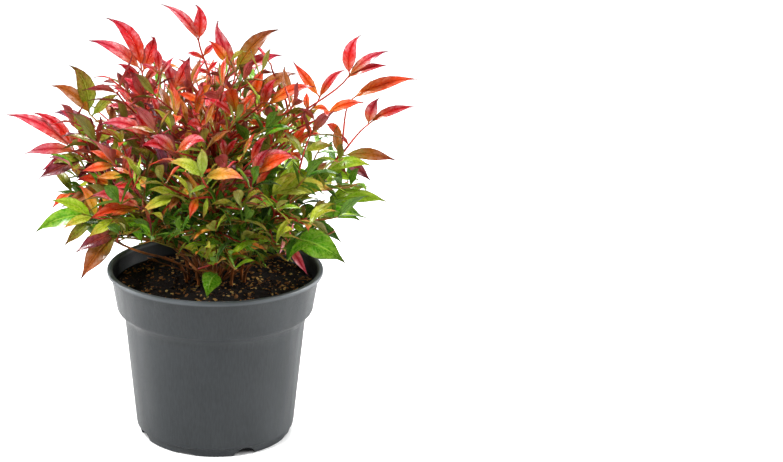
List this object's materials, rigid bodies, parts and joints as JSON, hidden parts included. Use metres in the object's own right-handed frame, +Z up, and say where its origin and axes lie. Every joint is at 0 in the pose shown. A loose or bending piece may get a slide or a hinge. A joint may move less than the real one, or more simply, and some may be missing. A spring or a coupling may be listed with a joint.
{
  "type": "potted heavenly bamboo",
  "caption": "Compact heavenly bamboo shrub with red and green autumn leaves, growing in a round dark plastic nursery pot.",
  "frame": {"origin": "on the pot's axis at the plane the pot stands on, under the middle of the plant", "axes": "+Z up along the pot's axis, the side the picture shows faces -Y, +X to the viewer's right"},
  "size_m": [0.3487, 0.3455, 0.3856],
  "materials": {
    "pot": "satin dark grey plastic",
    "soil": "dark moist potting compost",
    "cane": "thin brown bark",
    "foliage_top": "glossy red leaves",
    "foliage_upper": "glossy orange-red leaves",
    "foliage_middle": "glossy orange and bronze leaves",
    "foliage_low": "glossy green leaves"
  },
  "bodies": {
    "root": {"pot": "pot", "soil": "soil", "cane_top": "cane", "cane_upper_right": "cane", "cane_upper_back": "cane", "cane_upper_left": "cane", "cane_upper_front": "cane", "cane_middle_right": "cane", "cane_middle_back_right": "cane", "cane_middle_back_left": "cane", "cane_middle_left": "cane", "cane_middle_front_left": "cane", "cane_middle_front": "cane", "cane_middle_front_right": "cane", "cane_low_right": "cane", "cane_low_back_right": "cane", "cane_low_back_left": "cane", "cane_low_left": "cane", "cane_low_front": "cane", "foliage_top": "foliage_top", "foliage_upper_right": "foliage_upper", "foliage_upper_back": "foliage_upper", "foliage_upper_left": "foliage_upper", "foliage_upper_front": "foliage_upper", "foliage_middle_right": "foliage_middle", "foliage_middle_back_right": "foliage_middle", "foliage_middle_back_left": "foliage_middle", "foliage_middle_left": "foliage_middle", "foliage_middle_front_left": "foliage_middle", "foliage_middle_front": "foliage_middle", "foliage_middle_front_right": "foliage_middle", "foliage_low_right": "foliage_low", "foliage_low_back_right": "foliage_low", "foliage_low_back_left": "foliage_low", "foliage_low_left": "foliage_low", "foliage_low_front": "foliage_low"}
  },
  "joints": []
}
